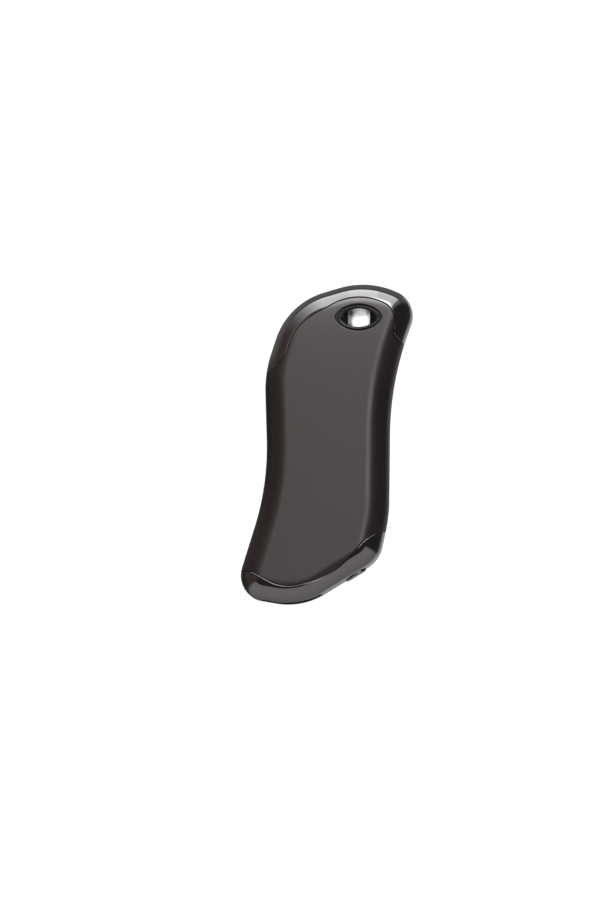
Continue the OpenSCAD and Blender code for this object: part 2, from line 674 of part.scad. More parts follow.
// Housing
module shell(z0, z1) {
    difference() {
        intersection() {
            pillow(0, outer_steps);
            prism(z0, z1) shell_region(seam_gap / 2);
        }
        pillow(wall);
        eyelet_column(0, -1, body_t + 1);
    }
}
module front_shell() color([0.3, 0.29, 0.29]) {
    shell(mid + seam_gap / 2, body_t + 1);
}
module back_shell() color([0.3, 0.29, 0.29]) {
    difference() {
        union() {
            shell(-1, mid - seam_gap / 2);
            parting_lip();
            for (p = screw_at) post(p, tray_top - tray_t - bond);
            post(web_screw_at, mid - web_half - bond);
        }
        for (p = screw_at) translate([p[0], p[1], tray_top - tray_t - screw_bite - 0.5])
            cylinder(d = screw_d + 2 * bond, h = screw_bite + 1);
        translate([web_screw_at[0], web_screw_at[1], mid - web_half - screw_bite - 0.5])
            cylinder(d = screw_d + 2 * bond, h = screw_bite + 1);
    }
}
module post(p, top) {
    translate([p[0], p[1], wall / 2]) cylinder(d = post_d, h = top - wall / 2);
}
// A lip along both sides that the front shell closes over
module parting_lip() {
    root = 3;
    intersection() {
        union() {
            prism(mid - root, mid - seam_gap / 2) difference() {
                polygon(loop(outline, wall / 2));
                polygon(loop(outline, cap_wall));
            }
            prism(mid - seam_gap, mid + lip_reach) difference() {
                polygon(loop(outline, wall + 2 * fit));
                polygon(loop(outline, cap_wall));
            }
        }
        prism(0, body_t) shell_region(seam_gap / 2 + lip_reach + fit);
    }
}
module top_cap() color([0.05, 0.05, 0.06]) {
    difference() {
        union() {
            intersection() {
                pillow(0, outer_steps);
                prism(-1, body_t + 1) top_region(seam_gap / 2);
            }
            intersection() {
                pillow(wall + fit);
                prism(-1, body_t + 1) top_region(-lip_reach);
            }
        }
        pillow(cap_wall);
        eyelet_column(fit, -1, body_t + 1);
    }
}
module bottom_cap() color([0.05, 0.05, 0.06]) {
    difference() {
        union() {
            difference() {
                union() {
                    intersection() {
                        pillow(0, outer_steps);
                        prism(-1, body_t + 1) bottom_region(seam_gap / 2);
                    }
                    intersection() {
                        pillow(wall + fit);
                        prism(-1, body_t + 1) bottom_region(-lip_reach);
                    }
                }
                pillow(cap_wall);
            }
            intersection() {
                pillow(cap_wall / 2, 2);
                bay(bay_wall, bay_y + bay_wall);
            }
        }
        bay(0, bay_y);
        translate([usb_a_x, bay_y - 1, mid]) along_y(bay_wall + 2) rounded_rect(usb_a_w + 2 * fit, usb_a_h + 2 * fit, usb_a_r + fit);
        translate([micro_x, bay_y - 1, board_top + micro_h / 2]) along_y(bay_wall + 2) micro_outline(-fit);
        at_facet(button_along, -3) along_y(cap_wall + 4) button_outline(fit);
        for (k = [0:light_count - 1]) at_facet(light_along + k * light_pitch, -3) rotate([-90, 0, 0])
            cylinder(d = light_d + 4 * bond, h = cap_wall + 4);
    }
}

front_shell();
back_shell();
top_cap();
bottom_cap();
lanyard_eyelet();
power_button();
light_guide();
usb_a_shell();
usb_a_tongue();
usb_a_contacts();
micro_usb_shell();
micro_usb_tongue();
inner_frame();
battery_cell_left();
battery_cell_right();
positive_strip();
negative_strip();
positive_insulator();
negative_insulator();
main_board();
controller_chips();
power_inductor();
board_capacitors();
status_leds();
switch_body();
switch_plunger();
case_screws();
heater_film_front();
for_back() heater_film_front();  // heater_film_back
heater_track_front();
for_back() heater_track_front();  // heater_track_back
foam_pad_front();
for_back() foam_pad_front();  // foam_pad_back
thermistor_front();
for_back() thermistor_front();  // thermistor_back
cell_lead_positive();
cell_lead_negative();
heater_leads_front();
heater_leads_back();
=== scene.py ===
import bpy, math
import numpy as np
from mathutils import Matrix, Vector
from mathutils.geometry import delaunay_2d_cdt
from mathutils.kdtree import KDTree


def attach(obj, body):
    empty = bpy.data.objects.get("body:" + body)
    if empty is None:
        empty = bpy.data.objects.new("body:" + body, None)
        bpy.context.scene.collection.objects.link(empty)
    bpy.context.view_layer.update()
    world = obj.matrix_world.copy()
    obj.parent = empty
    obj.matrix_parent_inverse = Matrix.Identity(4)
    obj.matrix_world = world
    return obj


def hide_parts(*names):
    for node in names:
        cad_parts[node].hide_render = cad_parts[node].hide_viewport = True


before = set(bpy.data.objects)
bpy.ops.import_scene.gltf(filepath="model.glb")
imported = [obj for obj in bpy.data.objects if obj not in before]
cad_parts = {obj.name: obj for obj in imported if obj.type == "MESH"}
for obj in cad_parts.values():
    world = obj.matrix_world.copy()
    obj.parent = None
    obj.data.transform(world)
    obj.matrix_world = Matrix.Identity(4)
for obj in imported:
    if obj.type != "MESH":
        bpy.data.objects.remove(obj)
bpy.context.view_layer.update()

# The hand warmer's looks. The housing's skins are worked out in millimetres in an unrolled plan, the domain, where
# the rounded side is laid out flat beyond the flat face, and then folded back into the body.
MM = 0.001
FAR = 1e9

# Sizes in mm, as in the CAD source
WALL, LIP, FIT, GAP = 1.4, 0.85, 0.15, 0.2
BODY_T, END, NOSE, WAIST = 26.0, 60.0, 32.25, 22.8
MID = BODY_T / 2
R, H, K = 8.5, BODY_T / 2, 2 / 2.4
CAP_WALL = WALL + FIT + LIP
OUTLINE = [
    (NOSE + 2.6, END - 6.5, 9.5), (NOSE - 16.9, END + 1.8, 30.8), (-WAIST + 8.1, END - 6.9, 26.9),
    (-WAIST - 0.5, END - 33.1, 42.3), (-WAIST + 0.7, -END + 44.8, 100.8), (-NOSE - 2.9, -END + 3.1, 9.7),
    (-NOSE + 22.7, -END - 1.4, 26.5), (WAIST - 3.2, -END + 16.4, 12.1), (WAIST + 0.4, -END + 33.2, 60),
    (WAIST + 1, END - 35.4, 116.2)]
ARCH = [(-WAIST - 9.1, END - 38.65, 0), (-WAIST + 7.1, END - 30.4, 12.9), (-WAIST + 11.5, END - 16.6, 17.8),
    (NOSE - 20.8, END - 3.6, 20.9), (NOSE - 5.1, END - 10.3, 7.4), (NOSE - 6.8, END - 19.9, 2.9),
    (NOSE + 4.9, END - 29.3, 0)]
BASE = [(-NOSE - 7.6, -END + 11.6, 0), (-NOSE + 4.7, -END + 11.6, 9.8), (-NOSE + 16, -END + 5, 15.6),
    (WAIST - 20.1, -END + 9.1, 32.5), (WAIST - 7.1, -END + 24.3, 23.4), (WAIST + 9.4, -END + 31.1, 0)]
# Eyelet: centre, oval and bore, and half the width of the throat's mouth
EYE = np.array([NOSE - 19.6, END - 13.65])
EYE_L, EYE_H, OVAL_POWER, HOLE_R, MOUTH = 17.4, 10.0, 1.8, 3.25, 4.2
# Port bay and its two sockets
BAY_X0, BAY_X1, BAY_Y, BAY_H, BAY_R, BAY_WALL = -25.65, -1.85, -54.6, 8.8, 1.2, 1.2
USB_W, USB_H, USB_X, USB_R = 13.1, 5.7, -18.25, 0.6
MIC_W, MIC_H, MIC_X, MIC_CUT = 7.5, 2.6, -6.65, 0.9
BOARD_TOP = MID - USB_H / 2
# Button and charge lights, along their facet
BUTTON_L, BUTTON_H, PROUD = 8.6, 5.0, 0.6
LIGHT_AT, LIGHT_PITCH, LIGHT_D, LIGHTS = 2.4, 1.6, 1.1, 4
BUTTON_AT = LIGHT_AT + (LIGHTS - 1) * LIGHT_PITCH + LIGHT_D / 2 + 0.65 + 1.1 + BUTTON_L / 2


def unit(v):
    v = np.asarray(v, float)
    return v / np.linalg.norm(v)


def corner(a, p, b):
    """Centre, radius, start angle, turn, start point and end point of the arc that rounds corner p."""
    P = np.array(p[:2])
    u, v = unit(np.array(a[:2]) - P), unit(np.array(b[:2]) - P)
    half = math.acos(max(-1, min(1, u @ v))) / 2
    c = P + unit(u + v) * p[2] / math.sin(half)
    s, e = P + u * p[2] / math.tan(half), P + v * p[2] / math.tan(half)
    a0 = math.atan2(*(s - c)[::-1])
    turn = (math.atan2(*(e - c)[::-1]) - a0 + math.pi) % (2 * math.pi) - math.pi
    return c, p[2], a0, turn, s, e


# The outline as arcs and straights. Each has the inward normal on its left.
CORNERS = len(OUTLINE)
ARCS = [corner(OUTLINE[i - 1], OUTLINE[i], OUTLINE[(i + 1) % CORNERS]) for i in range(CORNERS)]
LINES = [(ARCS[i][5], ARCS[(i + 1) % CORNERS][4]) for i in range(CORNERS)]


def locate(X):
    """Signed inward distance from the outline, and the inward normal there, for points X."""
    X = np.asarray(X, float)
    best = np.full(len(X), FAR)
    N = np.zeros((len(X), 2))
    for c, r, a0, turn, _s, _e in ARCS:
        v = X - c
        l = np.maximum(np.linalg.norm(v, axis=1), 1e-12)
        rel = (np.arctan2(v[:, 1], v[:, 0]) - a0) * np.sign(turn)
        rel = (rel + 1e-7) % (2 * math.pi)
        m = np.sign(turn) * (r - l)
        ok = (rel <= abs(turn) + 2e-7) & (abs(m) < abs(best))
        best[ok] = m[ok]
        N[ok] = (-np.sign(turn) * v / l[:, None])[ok]
    for a, b in LINES:
        t = unit(b - a)
        n = np.array([-t[1], t[0]])
        w = (X - a) @ t
        m = (X - a) @ n
        ok = (w >= -1e-7) & (w <= np.linalg.norm(b - a) + 1e-7) & (abs(m) < abs(best))
        best[ok] = m[ok]
        N[ok] = n
    return best, N


# Profile of the rounded side from the mid-plane to the flat face: the way along it, how far in, how far up and slope
KNEE = 0.05
turns = np.concatenate([[0], np.geomspace(1e-5, KNEE, 400), np.linspace(KNEE, math.pi / 2, 1600)[1:]])
SIDE_D = R * (1 - np.cos(turns) ** K)
SIDE_D[-1] = R
SIDE_Z = H * np.sin(turns) ** K
SIDE_S = np.concatenate([[0], np.cumsum(np.hypot(np.diff(SIDE_D), np.diff(SIDE_Z)))])
SIDE_SLOPE = np.arctan2(R * K * np.maximum(np.cos(turns), 1e-9) ** (K - 1) * np.sin(turns),
                        H * K * np.maximum(np.sin(turns), 1e-9) ** (K - 1) * np.cos(turns))
L = SIDE_S[-1]


def s_of_d(d):
    return np.interp(d, SIDE_D, SIDE_S)


def s_of_z(z):
    return np.interp(z, SIDE_Z, SIDE_S)


def d_of_z(z):
    return np.interp(z, SIDE_Z, SIDE_D)


# How far a point beyond the outline is moved out in the domain, to a millimetre
PAST_EDGE = 4


def flat_to_domain(X):
    """Plan points to the domain."""
    m, N = locate(X)
    w = np.where(m < R, s_of_d(np.clip(m, 0, R)) - L + R, m)
    w = np.where(m < 0, R - L + m * PAST_EDGE, w)
    return X + N * (w - m)[:, None]


def surface(D):
    """For domain points: the point on the front half, its outward normal, the inward normal in plan, the way s up the
    side, and the direction up the surface."""
    m, N = locate(D)
    s = np.minimum(m + L - R, L)
    d = np.where(m < R, np.interp(s, SIDE_S, SIDE_D), m)
    z = np.interp(s, SIDE_S, SIDE_Z)
    a = np.where(m < R, np.interp(s, SIDE_S, SIDE_SLOPE), math.pi / 2)
    plan = D + N * (d - m)[:, None]
    P = np.column_stack([plan, z])
    n = np.column_stack([-N * np.cos(a)[:, None], np.sin(a)])
    up = np.column_stack([N * np.sin(a)[:, None], np.cos(a)])
    return P, n, N, m + L - R, up


def fine(path, step=0.02):
    """A dense open polyline along a path of rounded corners."""
    out, at = [], np.array(path[0][:2])

    def straight(p, q):
        n = max(1, int(np.linalg.norm(q - p) / step))
        return [p + (q - p) * i / n for i in range(n)]

    for i in range(1, len(path) - 1):
        c, r, a0, turn, s, e = corner(path[i - 1], path[i], path[i + 1])
        out += straight(at, s)
        n = max(2, int(r * abs(turn) / step))
        out += [c + r * np.array([math.cos(a0 + turn * j / n), math.sin(a0 + turn * j / n)]) for j in range(n)]
        at = e
    out += straight(at, np.array(path[-1][:2])) + [np.array(path[-1][:2])]
    return np.array(out)


def shifted(path, d):
    """The path's corners for the same line moved d to its left, radii following."""
    pts = [np.array(p[:2]) for p in path]
    n = [np.array([-(b - a)[1], (b - a)[0]]) / np.linalg.norm(b - a) for a, b in zip(pts, pts[1:])]
    out = [(*(pts[0] + n[0] * d), 0)]
    for i in range(1, len(path) - 1):
        a, b = n[i - 1], n[i]
        turn = np.sign(a[0] * b[1] - a[1] * b[0])
        out.append((*(pts[i] + (a + b) * d / (1 + a @ b)), max(0.05, path[i][2] - turn * d)))
    return out + [(*(pts[-1] + n[-1] * d), 0)]


def resample(line, step):
    """The same line at even steps."""
    l = np.concatenate([[0], np.cumsum(np.linalg.norm(np.diff(line, axis=0), axis=1))])
    n = max(2, int(round(l[-1] / step)) + 1)
    g = np.linspace(0, l[-1], n)
    return np.column_stack([np.interp(g, l, line[:, 0]), np.interp(g, l, line[:, 1])])


def seam_row(path, d, step=0.8):
    """The seam moved d to its left, in the domain, run a little past the mid-plane at both ends."""
    f = fine(shifted(path, d))
    m, _ = locate(f)
    on_body = np.flatnonzero(m > -0.4)
    return resample(flat_to_domain(f[on_body[0]:on_body[-1] + 1]), step)


def nearest(X, line, closed):
    """Signed distance from a dense polyline, positive on its left, and the direction away from it."""
    tree = KDTree(len(line))
    for i, p in enumerate(line):
        tree.insert((p[0], p[1], 0), i)
    tree.balance()
    at = np.array([tree.find((x, y, 0))[1] for x, y in X])
    n = len(line)
    best, V, side = np.full(len(X), FAR), np.zeros((len(X), 2)), np.ones(len(X))
    for step in (-1, 0):
        i, j = at + step, at + step + 1
        i, j = (i % n, j % n) if closed else (np.clip(i, 0, n - 2), np.clip(i, 0, n - 2) + 1)
        a, ab = line[i], line[j] - line[i]
        t = np.clip(((X - a) * ab).sum(1) / np.maximum((ab ** 2).sum(1), 1e-12), 0, 1)
        v = X - a - ab * t[:, None]
        d = np.linalg.norm(v, axis=1)
        ok = d < best - 1e-9
        best[ok], V[ok] = d[ok], v[ok]
        side[ok] = np.sign(ab[:, 0] * v[:, 1] - ab[:, 1] * v[:, 0])[ok]
    return side * best, V / np.maximum(best, 1e-9)[:, None]


def signed(X, path):
    """Signed distance from a seam, and the direction away from it."""
    return nearest(X, fine(path, 0.05), False)


def loop_distance(X, ring):
    """Distance outside a closed counterclockwise loop, and the direction away from it."""
    d, v = nearest(X, dense(ring, 0.05), True)
    return -d, v * np.where(d > 0, -1, 1)[:, None]


def oval(grow, n=160):
    """The eyelet's outline, grown by an even margin."""
    t = np.arange(n) * 2 * math.pi / n
    c, s = np.cos(t), np.sin(t)
    p = 2 / OVAL_POWER
    x, y = EYE_L / 2 * np.sign(c) * abs(c) ** p, EYE_H / 2 * np.sign(s) * abs(s) ** p
    gx = np.sign(c) * abs(c) ** (2 - p) / (EYE_L / 2)
    gy = np.sign(s) * abs(s) ** (2 - p) / (EYE_H / 2)
    n2 = np.column_stack([gx, gy])
    n2 /= np.linalg.norm(n2, axis=1)[:, None]
    return EYE + np.column_stack([x, y]) + n2 * grow


# The straight facet that carries the button and the charge lights
FACET_A, FACET_B = LINES[6]
RUN = unit(FACET_B - FACET_A)
FACET_IN = np.array([-RUN[1], RUN[0]])


def on_facet(along, z):
    """Domain points for places on the facet, given along it and above the mid-plane."""
    z = np.asarray(z, float)
    w = np.sign(z) * s_of_z(abs(z)) - L + R
    return FACET_A + np.outer(along, RUN) + FACET_IN * w[:, None]


def stadium(l, h, n=24):
    """A slot with round ends, counterclockwise."""
    t = np.linspace(-math.pi / 2, math.pi / 2, n)
    right = np.column_stack([(l - h) / 2 + h / 2 * np.cos(t), h / 2 * np.sin(t)])
    return np.vstack([right, -right])


def rounded(w, h, r, n=8):
    """A rectangle with round corners, counterclockwise."""
    out = []
    for k, (sx, sy) in enumerate([(1, 1), (-1, 1), (-1, -1), (1, -1)]):
        t = (k + np.linspace(0, 1, n)) * math.pi / 2
        out.append(np.column_stack([sx * (w / 2 - r) + r * np.cos(t), sy * (h / 2 - r) + r * np.sin(t)]))
    return np.vstack(out)


def dense(ring, step):
    """A closed ring at even steps."""
    ring = np.vstack([ring, ring[:1]])
    return resample(ring, step)[:-1]


# Two places along Y that lie outside and inside the base's outer surface, below any point of the bay
BASE_OUT, BASE_IN = -64.0, -50.0


def mouth_y(x, z):
    """Where a straight way along Y at (x, z) meets the base's outer surface."""
    d = float(d_of_z(abs(z)))
    y0, y1 = BASE_OUT, BASE_IN
    for _ in range(40):
        y = (y0 + y1) / 2
        if locate([[x, y]])[0][0] < d:
            y0 = y
        else:
            y1 = y
    return y1


def bay_domain():
    """The port bay's mouth in the domain: for each x and height the place on the side straight below it."""
    out = []
    for x, z in dense(rounded(BAY_X1 - BAY_X0, BAY_H, BAY_R), 0.35) + [(BAY_X0 + BAY_X1) / 2, 0]:
        at = np.array([x, mouth_y(x, z)])
        m, N = locate([at])
        foot = at - N[0] * m[0]
        out.append(foot + N[0] * (math.copysign(float(s_of_z(abs(z))), z) - L + R))
    return np.array(out)


SIDE_HOLES = {"bay": bay_domain()}
hole = dense(stadium(BUTTON_L + 2 * FIT, BUTTON_H + 2 * FIT), 0.3)
SIDE_HOLES["button"] = on_facet(hole[:, 0] + BUTTON_AT, hole[:, 1])
LIGHT_FIT = 0.1
hole = np.array([[math.cos(a), math.sin(a)] for a in np.linspace(0, 2 * math.pi, 32, endpoint=False)])
hole = hole * (LIGHT_D / 2 + LIGHT_FIT)
for i in range(LIGHTS):
    SIDE_HOLES[f"light{i}"] = on_facet(hole[:, 0] + LIGHT_AT + i * LIGHT_PITCH, hole[:, 1])

# Radius of each kind of rounded edge
FILLET = {"seam": 0.22, "oval": 0.4, "part": 0.2, "hole": 0.22, "light": 0.12}


def rows(r):
    """How far from an edge of this radius the mesh's rows lie."""
    return [0, 0.12 * r, 0.32 * r, 0.62 * r, r, r + 0.7]


def offset_ring(ring, d):
    """The ring moved out by d."""
    n = np.roll(ring, -1, axis=0) - np.roll(ring, 1, axis=0)
    n = np.column_stack([n[:, 1], -n[:, 0]]) / np.linalg.norm(n, axis=1)[:, None]
    return ring + n * d


def triangulated(pts, edges):
    """Points and triangles of a triangulation that keeps these edges."""
    vs, _e, fs, _ov, _oe, _of = delaunay_2d_cdt([Vector(p) for p in pts], edges, [], 0, 1e-6)
    return np.array([tuple(v) for v in vs]), np.array([tuple(f) for f in fs])


def ring_at(s, step):
    """The outline's line at the way s up the side, in the domain."""
    m = s - L + R
    out = []
    for (c, r, a0, turn, _s, _e), (a, b) in zip(ARCS, LINES):
        rr = r - np.sign(turn) * m
        n = max(3, int(math.ceil(rr * abs(turn) / step)))
        out += [c + rr * np.array([math.cos(a0 + turn * j / n), math.sin(a0 + turn * j / n)]) for j in range(n)]
        t = unit(b - a)
        inward = np.array([-t[1], t[0]])
        k = max(1, int(math.ceil(np.linalg.norm(b - a) / step)))
        out += [a + (b - a) * j / k + inward * m for j in range(k)]
    return np.array(out)


def on_half(line):
    """Which points of the domain lie on the front half, or just past the mid-plane."""
    m, _ = locate(line)
    return m + L - R > -0.8


# Spacing of the mesh's points along a line, on a free row and on the face, and how near a line leaves no free point
LINE_STEP, ROW_STEP, FACE_DX, FACE_DY, LINE_ROOM = 1.2, 1.3, 2.6, 2.25, 0.55


def build_half():
    """One constrained triangulation of the front half's domain: its points and its triangles."""
    pts, edges, guard = [], [], []

    def add_line(line, closed=False):
        i = len(pts)
        pts.extend(map(tuple, line))
        n = len(line)
        edges.extend((i + j, i + (j + 1) % n) for j in range(n if closed else n - 1))

    for s in [0.0] + [float(s_of_z(GAP / 2 + e)) for e in rows(FILLET["part"])] + [L]:
        add_line(ring_at(s, LINE_STEP), closed=True)
    for path in (ARCH, BASE):
        for side in (-1, 1):
            for e in rows(FILLET["seam"]):
                line = seam_row(path, side * (GAP / 2 + e))
                add_line(line)
                guard.append(line)
    for e in rows(FILLET["oval"]):
        line = flat_to_domain(dense(oval(e), 0.5))
        add_line(line, closed=True)
        guard.append(line)
    for name, base in SIDE_HOLES.items():
        light = name.startswith("light")
        for e in rows(FILLET["light" if light else "hole"])[:5 if light else 6]:
            line = offset_ring(base, e)
            gone = np.flatnonzero(~on_half(line))
            if len(gone):
                # The ring is opened where it leaves the front half
                one_run = gone[-1] - gone[0] == len(gone) - 1
                last = gone[-1] if one_run else gone[0] + np.flatnonzero(np.diff(gone) > 1)[0]
                line = np.roll(line, -(last + 1), axis=0)
                line = line[on_half(line)]
            add_line(line, closed=not len(gone))
            guard.append(line)
    # Free points: rows up the side at even steps, and a staggered grid on the face
    free = [ring_at(s, ROW_STEP) for s in np.linspace(1.6, L, 17)[:-1]]
    xs, ys = np.meshgrid(np.arange(-34, 34, FACE_DX), np.arange(-62, 62, FACE_DY))
    xs = xs + (np.arange(xs.shape[0]) % 2)[:, None] * FACE_DX / 2
    face = np.column_stack([xs.ravel(), ys.ravel()])
    m, _ = locate(face)
    free = np.vstack(free + [face[m > R + 0.8]])
    guard = np.vstack(guard)
    keep = np.ones(len(free), bool)
    for i in range(0, len(free), 1500):
        keep[i:i + 1500] = np.linalg.norm(free[i:i + 1500, None] - guard, axis=2).min(1) > LINE_ROOM
    pts.extend(map(tuple, free[keep]))
    D, T = triangulated(pts, edges)
    a, b, c = D[T[:, 0]], D[T[:, 1]], D[T[:, 2]]
    area = (b - a)[:, 0] * (c - a)[:, 1] - (b - a)[:, 1] * (c - a)[:, 0]
    T[area < 0] = T[area < 0][:, ::-1]
    return D, T[abs(area) > 1e-9]


# The half's points (v) and triangle centres (c), with their distances from the arch, the base seam and the oval
D, T = build_half()
P, N3, N2, S, UP = surface(D)
CEN = D[T].mean(1)
cP, _n, _n2, cS, _u = surface(CEN)
cA, _ = signed(cP[:, :2], ARCH)
cB, _ = signed(cP[:, :2], BASE)
vA, gA = signed(P[:, :2], ARCH)
vB, gB = signed(P[:, :2], BASE)
OVAL_RING = oval(0, 320)
vO, gO = loop_distance(P[:, :2], OVAL_RING)
cO, _ = loop_distance(cP[:, :2], OVAL_RING)
print("half:", len(D), "points", len(T), "triangles")


def tangent(g2, n):
    """A direction in plan, laid into the surface with normal n."""
    g = np.column_stack([g2, np.zeros(len(g2))])
    g -= n * (g * n).sum(1)[:, None]
    return g / np.maximum(np.linalg.norm(g, axis=1), 1e-9)[:, None]


# How far from the oval and from the bay the wall's inner side turns towards Z and Y
OVAL_TURN, OVAL_BLEND, BAY_TURN, BAY_BLEND = 4, 3, 1.2, 1.0


def skin(kind):
    """Vertices, faces and vertex normals of a housing piece, closed, with rounded edges."""
    edges = []  # distance from an edge, direction away from it, fillet radius, name
    if kind == "shell":
        keep = (cA < -GAP / 2) & (cB > GAP / 2) & (cO > 0) & (cS > float(s_of_z(GAP / 2)))
        edges.append((-vA - GAP / 2, tangent(gA, N3), FILLET["seam"], None))
        edges.append((vB - GAP / 2, tangent(gB, N3), FILLET["seam"], None))
        edges.append((vO, tangent(gO, N3), FILLET["oval"], "oval"))
        edges.append((np.maximum(P[:, 2] - GAP / 2, 0), UP, FILLET["part"], None))
        wall, whole = WALL, False
    elif kind == "top":
        keep = (cA > GAP / 2) & (cS > 0)
        edges.append((vA - GAP / 2, tangent(gA, N3), FILLET["seam"], None))
        wall, whole = CAP_WALL, True
    else:
        keep = (cB < -GAP / 2) & (cS > 0)
        edges.append((-vB - GAP / 2, tangent(gB, N3), FILLET["seam"], None))
        round_way = np.column_stack([-N2[:, 1], N2[:, 0]])
        for name, ring in SIDE_HOLES.items():
            dv, gv = loop_distance(D, ring)
            dc, _ = loop_distance(CEN, ring)
            keep &= dc > 0
            along, inward = (gv * round_way).sum(1), (gv * N2).sum(1)
            g3 = np.column_stack([round_way * along[:, None], np.zeros(len(D))]) + UP * inward[:, None]
            edges.append((dv, g3, FILLET["light" if name.startswith("light") else "hole"], name))
        wall, whole = CAP_WALL, True
    tri = T[keep]
    used = np.unique(tri)
    n = len(used)
    index = -np.ones(len(D), int)
    index[used] = np.arange(n)
    tri = index[tri]
    pos, nrm = P[used].copy(), N3[used].copy()
    back = -nrm.copy()
    e, r, G = np.full(n, FAR), np.full(n, 0.2), np.zeros((n, 3))
    for dist, g, rad, name in edges:
        dist, g = np.clip(dist[used], 0, None), g[used]
        if name == "oval":
            w = np.clip((OVAL_TURN - dist) / OVAL_BLEND, 0, 1)[:, None]
            back = back * (1 - w) + np.array([0, 0, -1.0]) * w
        if name == "bay":
            w = np.clip((BAY_TURN - dist) / BAY_BLEND, 0, 1)[:, None]
            back = back * (1 - w) + np.array([0, 1.0, 0]) * w
        closer = dist < e
        e = np.where(closer, dist, e)
        G = np.where(closer[:, None], g, G)
        r = np.where(closer, rad, r)
    back /= np.linalg.norm(back, axis=1)[:, None]
    # Round the edges: sink the points near one and lean their normals away from it
    near = e < r
    k = np.clip((r - e) / r, 0, 1)
    drop = np.where(near, r - np.sqrt(np.maximum(r * r - (r * k) ** 2, 0)), 0)
    outer = pos - nrm * drop[:, None]
    shade = np.where(near[:, None], nrm * np.sqrt(np.maximum(1 - k * k, 0))[:, None] - G * k[:, None], nrm)
    inner = pos + back * wall
    inner[:, 2] = np.maximum(inner[:, 2], 0 if whole else GAP / 2)
    on_mid = abs(S[used]) < 1e-4
    if whole:
        outer[on_mid, 2] = 0
        inner[on_mid, 2] = 0
    # Boundary edges: the directed edges that have no partner
    directed = np.vstack([tri[:, [0, 1]], tri[:, [1, 2]], tri[:, [2, 0]]]).tolist()
    have = {(a, b) for a, b in directed}
    rim = [(a, b) for a, b in directed if (b, a) not in have]
    if whole:
        rim = [(a, b) for a, b in rim if not (on_mid[a] and on_mid[b])]
    at_edge = np.zeros(n, bool)
    for a, b in rim:
        at_edge[[a, b]] = True
    verts = np.vstack([outer, inner])
    norms = np.vstack([shade, np.where(at_edge[:, None], -G, -nrm)])
    faces = tri.tolist() + (tri[:, ::-1] + n).tolist() + [(b, a, a + n, b + n) for a, b in rim]
    if whole:
        # The back half is the front's mirror image and shares its points on the mid-plane
        off_mid = np.concatenate([~on_mid, ~on_mid])
        twin = np.where(off_mid, np.cumsum(off_mid) - 1 + 2 * n, np.arange(2 * n))
        verts = np.vstack([verts, verts[off_mid] * [1, 1, -1]])
        norms = np.vstack([norms, norms[off_mid] * [1, 1, -1]])
        faces = faces + [tuple(int(twin[i]) for i in f[::-1]) for f in faces]
    return verts + [0, 0, MID], faces, norms


def mesh(name, verts, faces, norms=None, smooth=True):
    """An object from points in millimetres."""
    me = bpy.data.meshes.new(name)
    me.from_pydata((np.asarray(verts) * MM).tolist(), [], [tuple(f) for f in faces])
    me.update()
    me.shade_smooth() if smooth else me.shade_flat()
    if norms is not None:
        norms = np.asarray(norms)
        norms = norms / np.maximum(np.linalg.norm(norms, axis=1), 1e-9)[:, None]
        me.normals_split_custom_set_from_vertices(norms.tolist())
    o = bpy.data.objects.new(name, me)
    bpy.context.collection.objects.link(o)
    return o


def piece(name, node, slot, mat, verts, faces, norms=None, smooth=True, body="housing"):
    """A piece that shows, in place of a node if one is named."""
    o = mesh(name, verts, faces, norms, smooth)
    o.data.materials.append(mat)
    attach(o, body)
    if node:
        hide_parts(node)


# ---------------------------------------------------------------- materials
GRAIN, BLOTCH, GRAIN_SHARE = 3000, 45, 0.35  # scales of the two noises, and the finer one's share of the tone
NOISE_LO, NOISE_HI = 0.3, 0.7  # the span that the noises mostly keep to


def noise(nt, coords, scale, detail):
    n = nt.nodes.new("ShaderNodeTexNoise")
    n.inputs["Scale"].default_value = scale
    n.inputs["Detail"].default_value = detail
    nt.links.new(coords.outputs["Object"], n.inputs["Vector"])
    return n.outputs["Fac"]


